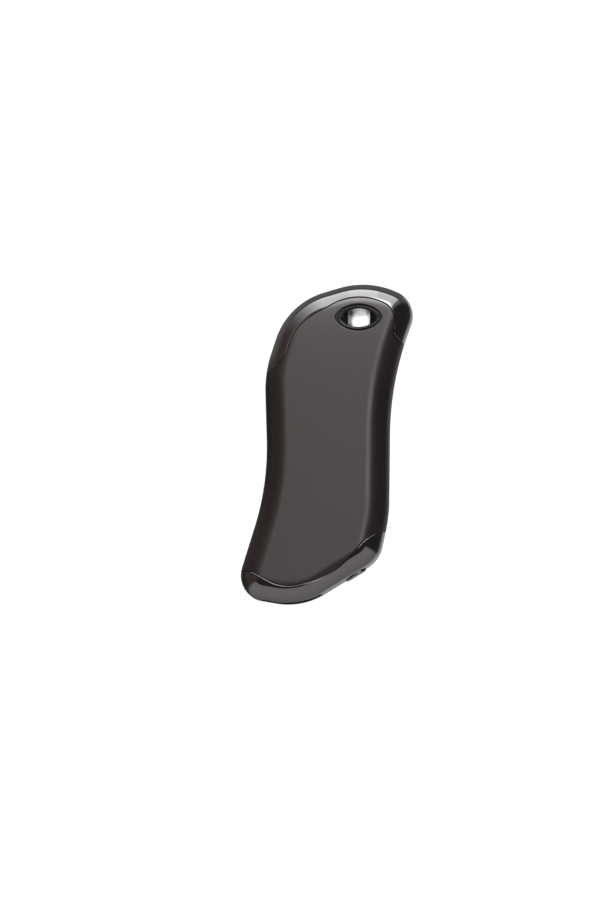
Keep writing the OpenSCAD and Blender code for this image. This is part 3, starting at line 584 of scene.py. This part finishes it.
def material(name, color, rough, metal=0.0, spec=0.5, coat=0.0, coat_rough=0.05, grain=GRAIN, grain_bump=0.0,
             tone=0.0, rough_var=0.0, transmission=0.0, ior=1.5):
    """A shader whose tone and roughness wander a little, with a fine bump where one is asked for."""
    m = bpy.data.materials.new(name)
    m.use_nodes = True
    nt = m.node_tree
    b = nt.nodes["Principled BSDF"]
    b.inputs["Metallic"].default_value = metal
    b.inputs["Specular IOR Level"].default_value = spec
    b.inputs["IOR"].default_value = ior
    b.inputs["Coat Weight"].default_value = coat
    b.inputs["Coat Roughness"].default_value = coat_rough
    b.inputs["Transmission Weight"].default_value = transmission
    coords = nt.nodes.new("ShaderNodeTexCoord")
    fine_noise, broad_noise = noise(nt, coords, grain, 3), noise(nt, coords, BLOTCH, 4)
    ramp = nt.nodes.new("ShaderNodeValToRGB")
    for end, at, shift in zip(ramp.color_ramp.elements, (NOISE_LO, NOISE_HI), (1 - tone, 1 + tone)):
        end.position = at
        end.color = (*(min(1, c * shift) for c in color), 1)
    mix = nt.nodes.new("ShaderNodeMix")
    mix.data_type = "FLOAT"
    mix.inputs[0].default_value = GRAIN_SHARE
    nt.links.new(fine_noise, mix.inputs[2])
    nt.links.new(broad_noise, mix.inputs[3])
    nt.links.new(mix.outputs[0], ramp.inputs["Fac"])
    nt.links.new(ramp.outputs["Color"], b.inputs["Base Color"])
    span = nt.nodes.new("ShaderNodeMapRange")
    span.inputs["To Min"].default_value = max(0.01, rough - rough_var)
    span.inputs["To Max"].default_value = min(1, rough + rough_var)
    span.inputs["From Min"].default_value, span.inputs["From Max"].default_value = NOISE_LO, NOISE_HI
    nt.links.new(broad_noise, span.inputs["Value"])
    nt.links.new(span.outputs["Result"], b.inputs["Roughness"])
    if grain_bump:
        bump = nt.nodes.new("ShaderNodeBump")
        bump.inputs["Strength"].default_value = grain_bump
        bump.inputs["Distance"].default_value = 0.00002
        nt.links.new(fine_noise, bump.inputs["Height"])
        nt.links.new(bump.outputs["Normal"], b.inputs["Normal"])
    return m


M_SHELL = material("shell_matte", (0.0095, 0.0068, 0.0068), 0.36, grain=2600, grain_bump=0.25, tone=0.10,
                   rough_var=0.03)
M_CAP = material("cap_gloss", (0.005, 0.0045, 0.0048), 0.08, ior=2.0, coat=1.0, coat_rough=0.04, grain=900,
                 tone=0.05, rough_var=0.02)
M_RING = material("eyelet_gloss", (0.005, 0.0045, 0.0048), 0.14, grain=900, tone=0.05, rough_var=0.02)
M_BUTTON = material("button_gloss", (0.009, 0.0085, 0.009), 0.14, ior=1.8, coat=1.0, coat_rough=0.08, grain=1500,
                    tone=0.08, rough_var=0.03)
M_GUIDE = material("guide_clear", (0.75, 0.8, 0.85), 0.2, transmission=0.6, tone=0.03, rough_var=0.04)
M_STEEL = material("socket_steel", (0.62, 0.62, 0.63), 0.26, metal=1, grain=1800, grain_bump=0.1, tone=0.06,
                   rough_var=0.06)
M_WHITE = material("socket_white", (0.72, 0.72, 0.7), 0.42, tone=0.04, rough_var=0.05)
M_BLACK = material("socket_black", (0.02, 0.02, 0.021), 0.45, tone=0.08, rough_var=0.05)
M_GOLD = material("contact_gold", (0.9, 0.66, 0.27), 0.22, metal=1, tone=0.05, rough_var=0.05)
M_FRAME = material("frame_grey", (0.13, 0.135, 0.14), 0.5, grain=1800, grain_bump=0.2, tone=0.08, rough_var=0.05)
M_CELL = material("cell_sleeve", (0.02, 0.09, 0.22), 0.3, coat=0.4, tone=0.08, rough_var=0.05)
M_NICKEL = material("nickel", (0.6, 0.58, 0.54), 0.3, metal=1, tone=0.06, rough_var=0.08)
M_FISH = material("fish_paper", (0.42, 0.36, 0.24), 0.8, grain=1400, grain_bump=0.3, tone=0.12, rough_var=0.06)
M_BOARD = material("board_green", (0.01, 0.11, 0.05), 0.35, coat=0.3, grain=1200, tone=0.15, rough_var=0.06)
M_CHIP = material("chip_black", (0.018, 0.018, 0.02), 0.5, grain=2600, grain_bump=0.2, tone=0.12, rough_var=0.06)
M_FERRITE = material("ferrite", (0.05, 0.05, 0.055), 0.6, grain=1800, grain_bump=0.3, tone=0.18, rough_var=0.08)
M_CERAMIC = material("ceramic", (0.42, 0.31, 0.2), 0.45, tone=0.1, rough_var=0.05)
M_LED = material("led_resin", (0.85, 0.82, 0.6), 0.25, transmission=0.3, tone=0.04, rough_var=0.05)
M_SCREW = material("screw_steel", (0.36, 0.36, 0.37), 0.32, metal=1, tone=0.08, rough_var=0.08)
M_FILM = material("film_amber", (0.55, 0.26, 0.04), 0.25, coat=0.5, tone=0.08, rough_var=0.05)
M_FOAM = material("foam", (0.16, 0.16, 0.17), 0.95, spec=0.2, grain=900, grain_bump=0.8, tone=0.25, rough_var=0.03)
M_RED = material("lead_red", (0.42, 0.02, 0.02), 0.4, tone=0.08, rough_var=0.05)
M_LBLACK = material("lead_black", (0.02, 0.02, 0.02), 0.4, tone=0.08, rough_var=0.05)
M_LWHITE = material("lead_white", (0.65, 0.65, 0.63), 0.4, tone=0.06, rough_var=0.05)
NODE_MAT = {
    "front_shell": M_SHELL, "back_shell": M_SHELL, "top_cap": M_CAP, "bottom_cap": M_CAP, "lanyard_eyelet": M_RING,
    "power_button": M_BUTTON, "light_guide": M_GUIDE, "usb_a_shell": M_STEEL, "usb_a_tongue": M_WHITE,
    "usb_a_contacts": M_GOLD, "micro_usb_shell": M_STEEL, "micro_usb_tongue": M_BLACK, "inner_frame": M_FRAME,
    "battery_cell_left": M_CELL, "battery_cell_right": M_CELL, "positive_strip": M_NICKEL,
    "negative_strip": M_NICKEL, "positive_insulator": M_FISH, "negative_insulator": M_FISH, "main_board": M_BOARD,
    "controller_chips": M_CHIP, "power_inductor": M_FERRITE, "board_capacitors": M_CERAMIC, "status_leds": M_LED,
    "switch_body": M_CHIP, "switch_plunger": M_WHITE, "case_screws": M_SCREW, "cell_lead_positive": M_RED,
    "cell_lead_negative": M_LBLACK}
for side in ("front", "back"):
    NODE_MAT.update({f"heater_film_{side}": M_FILM, f"heater_track_{side}": M_NICKEL, f"foam_pad_{side}": M_FOAM,
                     f"thermistor_{side}": M_CHIP, f"heater_leads_{side}": M_LWHITE})
for name, m in NODE_MAT.items():
    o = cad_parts[name]
    o.data.materials.clear()
    o.data.materials.append(m)
    for p in o.data.polygons:
        p.material_index = 0

# ---------------------------------------------------------------- housing
v, f, n = skin("shell")
piece("front_shell_skin", "front_shell", "shell_matte", M_SHELL, v, f, n)
piece("back_shell_skin", "back_shell", "shell_matte", M_SHELL, v * [1, 1, -1] + [0, 0, 2 * MID],
      [q[::-1] for q in f], n * [1, 1, -1])
for end in ("top", "bottom"):
    v, f, n = skin(end)
    piece(f"{end}_cap_skin", f"{end}_cap", "cap_gloss", M_CAP, v, f, n)


# ---------------------------------------------------------------- eyelet
def quads(a, b, n):
    """The band of faces between two rings of n points, by the numbers of their first points."""
    return [(a + j, a + (j + 1) % n, b + (j + 1) % n, b + j) for j in range(n)]


def body_z(X):
    """Height of the body's front surface above the mid-plane at plan points."""
    m, _ = locate(X)
    return np.interp(np.clip(m, 0, R), SIDE_D, SIDE_Z)


# The ring's section, by its offset from the oval and its depth below the body round it
GROOVE_DEEP, BEAD_AT, BEAD_R, INNER_GROOVE, RIM_AT, RIM_DEEP = 1.2, -0.82, 0.27, 0.9, -1.4, 0.72
# The lobes' fall from the rim to the mouth, and the throat's narrow part and its rounded edge
LOBE_FALL, THROAT_Z, THROAT_EDGE = 5.6, 3.4, 0.22


def eyelet():
    """The ring: a groove, a half-round bead, a second groove, then a mouth that runs from oval to round."""
    n = 192
    top = body_z(oval(-0.8, n)) - 0.1
    rim = oval(RIM_AT, n)
    ang = np.arctan2(rim[:, 1] - EYE[1], rim[:, 0] - EYE[0])
    throat = EYE + HOLE_R * np.column_stack([np.cos(ang), np.sin(ang)])
    levels = []

    def level(plan, z):
        levels.append(np.column_stack([plan, z]))

    level(oval(-0.08, n), np.zeros(n))
    level(oval(-0.08, n), top - GROOVE_DEEP + 0.05)
    level(oval(-0.16, n), top - GROOVE_DEEP)
    level(oval(BEAD_AT + BEAD_R, n), top - GROOVE_DEEP)
    for t in np.linspace(0, math.pi, 11):
        level(oval(BEAD_AT + BEAD_R * math.cos(t), n), top - BEAD_R + BEAD_R * math.sin(t))
    level(oval(BEAD_AT - BEAD_R, n), top - INNER_GROOVE)
    level(oval(RIM_AT + 0.1, n), top - INNER_GROOVE)
    z_rim = top - RIM_DEEP
    # Dished lobes run from the rim in to the throat's mouth, whose sides are straight
    share = np.minimum(1, MOUTH / np.maximum(np.abs(rim[:, 0] - EYE[0]), 1e-9))
    mouth = EYE + (rim - EYE) * share[:, None]
    z_mouth = z_rim - LOBE_FALL * (1 - share)
    for u in np.linspace(0, 1, 8):
        level(rim + (mouth - rim) * u, z_rim + (z_mouth - z_rim) * u)
    inward = (throat - mouth) / np.linalg.norm(throat - mouth, axis=1)[:, None]
    for t in np.linspace(0, math.pi / 2, 5)[1:]:
        level(mouth + inward * THROAT_EDGE * 0.6 * math.sin(t), z_mouth - THROAT_EDGE * (1 - math.cos(t)))
    start, z_start = levels[-1][:, :2].copy(), levels[-1][:, 2].copy()
    for u in np.linspace(0, 1, 12)[1:]:
        level(start + (throat - start) * u, z_start + (THROAT_Z - z_start) * u)
    level(throat, np.zeros(n))
    # The back half is the front's mirror image and shares the first and the last ring, on the mid-plane
    k = len(levels)
    front = np.array(levels).reshape(-1, 3)
    first = [i * n for i in range(k)]
    twin = [0] + [(k - 1) * n + i * n for i in range(1, k - 1)] + [(k - 1) * n]
    faces = [q for a, b in zip(first, first[1:]) for q in quads(a, b, n)]
    faces += [q[:1] + q[:0:-1] for a, b in zip(twin, twin[1:]) for q in quads(a, b, n)]
    return np.vstack([front, front[n:-n] * [1, 1, -1]]) + [0, 0, MID], faces


piece("eyelet_ring", "lanyard_eyelet", "cap_gloss", M_RING, *eyelet())


# ---------------------------------------------------------------- button and charge lights
def facet_frame(points, along):
    """Points given as (along the facet, inward, up), from a place along the facet, to the body."""
    points = np.asarray(points, float)
    plan = FACET_A + RUN * along + np.outer(points[:, 0], RUN) + np.outer(points[:, 1], FACET_IN)
    return np.column_stack([plan, points[:, 2] + MID])


def loft(rings):
    """Closed solid through rings of equal count, capped at both ends."""
    n, last = len(rings[0]), (len(rings) - 1) * len(rings[0])
    faces = [q for i in range(len(rings) - 1) for q in quads(i * n, (i + 1) * n, n)]
    return np.vstack(rings), faces + [tuple(range(n))[::-1], tuple(range(last, last + n))]


def on_ring(plan, y):
    """A ring drawn along the facet and up, at the depth y."""
    return np.column_stack([plan[:, 0], np.full(len(plan), y), plan[:, 1]])


def button_ring(inset, y):
    """The cap's outline, smaller by the inset all round, at the depth y behind the facet."""
    return on_ring(stadium(BUTTON_L - 2 * inset, BUTTON_H - 2 * inset, 28), y)


# A slightly dished face, by inset and depth, with a rounded edge, on a shank that reaches in to the flange
DISH = [(2.1, 0.16), (1.6, 0.13), (1.0, 0.06), (0.7, 0.01)]
BUTTON_EDGE, SHANK = 0.45, 3.4
rings = [button_ring(inset, y - PROUD) for inset, y in DISH]
rings += [button_ring(BUTTON_EDGE * (1 - math.sin(t)), BUTTON_EDGE * (1 - math.cos(t)) - PROUD)
          for t in np.linspace(0, math.pi / 2, 8)]
rings += [button_ring(0, SHANK)]
v, f = loft(rings)
piece("button_cap", "power_button", "button_gloss", M_BUTTON, facet_frame(v, BUTTON_AT), f, body="power_button")

# Each light's domed lens by radius and depth, and the bar behind that joins them
LENS = [(0.2, -0.01), (0.38, 0.01), (0.48, 0.05), (0.53, 0.12), (LIGHT_D / 2, 0.2), (LIGHT_D / 2, 2.8)]
BAR_H, BAR_R, BAR_DROP, BAR_FRONT, BAR_BACK = 3.65, 0.2, 0.72, 2.75, 3.85
t = np.linspace(0, 2 * math.pi, 28, endpoint=False)
lens = loft([on_ring(np.column_stack([r * np.cos(t), r * np.sin(t)]), y) for r, y in LENS])
bar = rounded((LIGHTS - 1) * LIGHT_PITCH + LIGHT_D + 0.3, BAR_H, BAR_R, 4) - [0, BAR_DROP]
bar = loft([on_ring(bar, y) for y in (BAR_FRONT, BAR_BACK)])
parts = [(lens, LIGHT_AT + i * LIGHT_PITCH) for i in range(LIGHTS)]
parts.append((bar, LIGHT_AT + (LIGHTS - 1) * LIGHT_PITCH / 2))
verts, faces = [], []
for (v, f), along in parts:
    faces += [tuple(j + len(verts) for j in q) for q in f]
    verts += facet_frame(v, along).tolist()
piece("light_lenses", "light_guide", "guide_clear", M_GUIDE, verts, faces)


# ---------------------------------------------------------------- port bay
def inside(points, ring):
    """Which plan points lie inside a closed ring."""
    out = np.zeros(len(points), bool)
    for (x0, y0), (x1, y1) in zip(ring, np.roll(ring, -1, axis=0)):
        hit = (y0 > points[:, 1]) != (y1 > points[:, 1])
        at = x0 + (points[:, 1] - y0) * (x1 - x0) / np.where(y1 == y0, 1e-9, y1 - y0)
        out ^= hit & (points[:, 0] < at)
    return out


# How far behind the base's surface the lining starts, and how far outside the base's opening
TRAY_BEHIND, TRAY_ROOM = 1.3, 0.03


def bay_tray():
    """The walls and floor of the port bay, with the two socket openings, closed all round."""
    size = np.array([BAY_X1 - BAY_X0, BAY_H])
    at = np.array([(BAY_X0 + BAY_X1) / 2, 0])
    inner = dense(rounded(*(size + 2 * TRAY_ROOM), BAY_R, 12), 0.8) + at
    outer = dense(rounded(*(size + 2 * BAY_WALL), BAY_R + BAY_WALL, 12), 0.8) + at
    usb = dense(rounded(USB_W + 2 * FIT, USB_H + 2 * FIT, USB_R + FIT, 12), 0.5) + [USB_X, 0]
    w, h, cut = MIC_W / 2 + FIT, MIC_H / 2 + FIT, MIC_CUT
    mic = np.array([(w, h), (-w, h), (-w, cut - h), (cut - w, -h), (w - cut, -h), (w, cut - h)])
    mic = dense(mic, 0.5) + [MIC_X, BOARD_TOP + MIC_H / 2 - MID]
    verts, faces = [], []

    def add(ring, y):
        """Adds a ring at the depth y, or at a depth for each point, and gives its first point's number."""
        verts.extend((p[0], v, p[1] + MID) for p, v in zip(ring, np.broadcast_to(y, len(ring))))
        return len(verts) - len(ring)

    def plate(loops, flip):
        """Adds the faces between the first loop and the others, each with its first point's number."""
        pts = np.vstack([r for r, _k in loops])
        ids = np.concatenate([k + np.arange(len(r)) for r, k in loops])
        edges, k = [], 0
        for r, _k in loops:
            edges += [(k + j, k + (j + 1) % len(r)) for j in range(len(r))]
            k += len(r)
        tri = triangulated(pts, edges)[1]
        c = pts[tri].mean(1)
        ok = inside(c, loops[0][0])
        for r, _k in loops[1:]:
            ok &= ~inside(c, r)
        faces.extend(tuple(int(i) for i in (ids[q] if flip else ids[q][::-1])) for q in tri[ok])

    back_y = BAY_Y + BAY_WALL
    mouth_in, mouth_out = (add(ring, [mouth_y(x, z) + TRAY_BEHIND for x, z in ring]) for ring in (inner, outer))
    floor_in, back_out = add(inner, BAY_Y), add(outer, back_y)
    holes = [(ring, add(ring, BAY_Y), add(ring, back_y)) for ring in (usb, mic)]
    faces += quads(floor_in, mouth_in, len(inner)) + quads(mouth_out, back_out, len(outer))
    for ring, front, rear in holes:
        faces += quads(rear, front, len(ring))
    plate([(inner, floor_in)] + [(ring, front) for ring, front, _rear in holes], True)
    plate([(outer, back_out)] + [(ring, rear) for ring, _front, rear in holes], False)
    plate([(outer, mouth_out), (inner, mouth_in)], True)
    return verts, faces


piece("bay_tray", None, "cap_gloss", M_CAP, *bay_tray(), smooth=False)


# ---------------------------------------------------------------- stage
def paper(name, color, glow):
    """Matte paper that glows a little, so it stays pale under soft light."""
    m = bpy.data.materials.new(name)
    m.use_nodes = True
    b = m.node_tree.nodes["Principled BSDF"]
    b.inputs["Base Color"].default_value = (color, color, color, 1)
    b.inputs["Roughness"].default_value = 0.95
    b.inputs["Specular IOR Level"].default_value = 0.0
    b.inputs["Emission Color"].default_value = (1, 1, 1, 1)
    b.inputs["Emission Strength"].default_value = glow
    return m


def staged(name, outline, z, mat):
    """A flat sheet that isn't part of the object."""
    sheet = mesh(name, [(x, y, z) for x, y in outline], [tuple(range(len(outline)))], smooth=False)
    sheet.data.materials.append(mat)
    return sheet


FLOOR_HALF, FLOOR_Z, CARD_Z = 3000, -0.2, -0.15
corners = [(x * FLOOR_HALF, y * FLOOR_HALF) for x, y in ((-1, -1), (1, -1), (1, 1), (-1, 1))]
floor = staged("floor", corners, FLOOR_Z, paper("floor_paper", 0.42, 0.62))
floor.visible_glossy = False
floor.visible_shadow = False
# A bright card under the eyelet, which the throat's walls reflect
CARD_RX, CARD_RY = 10, 8
t = np.linspace(0, 2 * math.pi, 48, endpoint=False)
oval_card = np.column_stack([EYE[0] + CARD_RX * np.cos(t), EYE[1] + CARD_RY * np.sin(t)])
staged("bounce_card", oval_card, CARD_Z, paper("card_paper", 0.5, 0.7))

# The way from the object to the photograph's camera
AWAY = Vector((0.073, -0.1, 1)).normalized()

# The studio's soft panels, by direction: strength, tint, azimuth from and to with the softness of each end, then
# off-vertical from and to with the softness of each end. Degrees, with azimuth 0 along +X and 90 along +Y.
PANELS = [
    (0.55, (1, 0.98, 0.97), 40, 140, 14, 30, 27, 99, 8, 6),
    (0.72, (1, 0.93, 0.95), 214, 334, 12, 8, 46, 128, 7, 110),
    (0.2, (1, 0.95, 0.97), 40, 160, 20, 20, 100, 150, 10, 60),
    (0.14, (1, 0.55, 0.5), 140, 212, 20, 20, 20, 110, 20, 30),
    (0.35, (1, 0.98, 0.96), 285, 425, 40, 20, 150, 190, 20, 1)]
# A strip overhead: strength, tint, degrees towards +X from and to, towards +Y from and to, and the softness of each
STRIP = (6.5, (1, 0.97, 0.97), 0.5, 15, -6, 42, 6, 12)
AMBIENT, AMBIENT_TINT = 0.04, (1.0, 0.96, 0.97)
world = bpy.data.worlds.new("studio")
bpy.context.scene.world = world
world.use_nodes = True
nt = world.node_tree
back = nt.nodes["Background"]


def calc(op, a, b=0.0):
    """A math node's output, from two outputs or numbers."""
    n = nt.nodes.new("ShaderNodeMath")
    n.operation = op
    for i, v in enumerate((a, b)):
        if hasattr(v, "node"):
            nt.links.new(v, n.inputs[i])
        else:
            n.inputs[i].default_value = v
    return n.outputs[0]


def step_up(v, at, soft):
    """A smooth step from 0 to 1 in the middle of a span."""
    n = nt.nodes.new("ShaderNodeMapRange")
    n.interpolation_type = "SMOOTHSTEP"
    nt.links.new(v, n.inputs["Value"])
    n.inputs["From Min"].default_value = at - soft / 2
    n.inputs["From Max"].default_value = at + soft / 2
    return n.outputs["Result"]


def between(v, lo, hi, soft_lo, soft_hi):
    """1 between two values and 0 outside, with a soft step at each."""
    return calc("MULTIPLY", step_up(v, lo, soft_lo), calc("SUBTRACT", 1.0, step_up(v, hi, soft_hi)))


def degrees_of(a, b):
    """The angle whose sine and cosine go as a and b."""
    return calc("MULTIPLY", calc("ARCTAN2", a, b), 180 / math.pi)


coords = nt.nodes.new("ShaderNodeTexCoord")
split = nt.nodes.new("ShaderNodeSeparateXYZ")
nt.links.new(coords.outputs["Generated"], split.inputs[0])
X, Y, Z = (split.outputs[i] for i in range(3))
off = calc("MULTIPLY", calc("ARCCOSINE", Z), 180 / math.pi)
sums = [AMBIENT * c for c in AMBIENT_TINT]


def add_light(part, strength, tint):
    """Adds a light of this tint to each colour's sum."""
    for i in range(3):
        sums[i] = calc("ADD", calc("MULTIPLY", part, strength * tint[i]), sums[i])


for strength, tint, a0, a1, s0, s1, t0, t1, u0, u1 in PANELS:
    middle, half = math.radians((a0 + a1) / 2), (a1 - a0) / 2
    c, q = math.cos(middle), math.sin(middle)
    turn = degrees_of(calc("SUBTRACT", calc("MULTIPLY", Y, c), calc("MULTIPLY", X, q)),
                      calc("ADD", calc("MULTIPLY", X, c), calc("MULTIPLY", Y, q)))
    add_light(calc("MULTIPLY", between(turn, -half, half, s0, s1), between(off, t0, t1, u0, u1)), strength, tint)
strength, tint, x0, x1, y0, y1, sx, sy = STRIP
across = between(degrees_of(X, Z), x0, x1, sx, sx)
add_light(calc("MULTIPLY", across, between(degrees_of(Y, Z), y0, y1, sy, sy)), strength, tint)
join = nt.nodes.new("ShaderNodeCombineXYZ")
for i in range(3):
    nt.links.new(sums[i], join.inputs[i])
nt.links.new(join.outputs[0], back.inputs[0])
back.inputs[1].default_value = 1.0


def aimed(name, data):
    """An object in the scene that is turned by a quaternion."""
    o = bpy.data.objects.new(name, data)
    bpy.context.collection.objects.link(o)
    o.rotation_mode = "QUATERNION"
    return o


def softbox(name, loc, target, size, energy, names):
    """A softbox, in metres and watts, that lights these pieces alone, as flags round it would."""
    d = bpy.data.lights.new(name, "AREA")
    d.shape = "RECTANGLE"
    d.size, d.size_y = size
    d.energy = energy
    o = aimed(name, d)
    o.location = loc
    o.rotation_quaternion = (Vector(target) - Vector(loc)).to_track_quat("-Z", "Y")
    group = bpy.data.collections.new(name + "_on")
    for lit in names:
        group.objects.link(bpy.data.objects[lit])
    o.light_linking.receiver_collection = group


# An upright wall of softboxes behind the top end, for the glossy pieces, which fades to the left: the boxes' edges
# along X, the wall's distance and its foot and top, and each box's radiance
GLOSSY = ["top_cap_skin", "bottom_cap_skin", "bay_tray", "eyelet_ring", "button_cap"]
EDGES = [-1.04, -0.9, -0.78, -0.7, -0.63, -0.57, -0.51, -0.45, -0.39, -0.2, 0.16, 0.44, 0.754]
WALL_Y, WALL_FOOT, WALL_TOP = 1.0, -0.17, 1.9
LEVELS = [0.22, 0.4, 0.62, 0.88, 1.2, 1.6, 2.0, 2.4, 2.8, 3.3, 2.5, 2.2]
for k, (x0, x1, radiance) in enumerate(zip(EDGES, EDGES[1:], LEVELS)):
    x, z, wide, high = (x0 + x1) / 2, (WALL_FOOT + WALL_TOP) / 2, x1 - x0, WALL_TOP - WALL_FOOT
    softbox(f"wall_box_{k}", (x, WALL_Y, z), (x, 0, z), (wide, high), radiance * math.pi * wide * high, GLOSSY)
# A small one close to the crown and one above the top end, for the shells
CROWN = (0.004, 0.05, 0.013)
softbox("crown_box", (0.004, 0.066, 0.05), CROWN, (0.06, 0.012), 0.018, ["front_shell_skin"])
softbox("top_box", (0.0, 0.3, 0.45), (0, 0.05, 0.013), (0.3, 0.12), 0.8, ["front_shell_skin", "back_shell_skin"])
# A soft sun straight behind the photograph's camera, which lights the floor through the eyelet
sun = bpy.data.lights.new("through", "SUN")
sun.energy = 2.6
sun.angle = math.radians(4)
lamp = aimed("through", sun)
lamp.rotation_quaternion = (-AWAY).to_track_quat("-Z", "Y")
lamp.visible_glossy = False

# The photograph's view, in metres
TARGET, DISTANCE = Vector((-0.0102, -0.002, 0.013)), 2.5
camera = bpy.data.cameras.new("camera")
camera.lens = 266.8
camera.sensor_width = 36
camera.clip_start = 0.01
cam = aimed("camera", camera)
cam.location = TARGET + AWAY * DISTANCE
right = Vector((0, 1, 0)).cross(AWAY).normalized()
cam.rotation_quaternion = Matrix((right, AWAY.cross(right), AWAY)).transposed().to_quaternion()
bpy.context.scene.camera = cam
bpy.context.scene.view_settings.view_transform = "Standard"
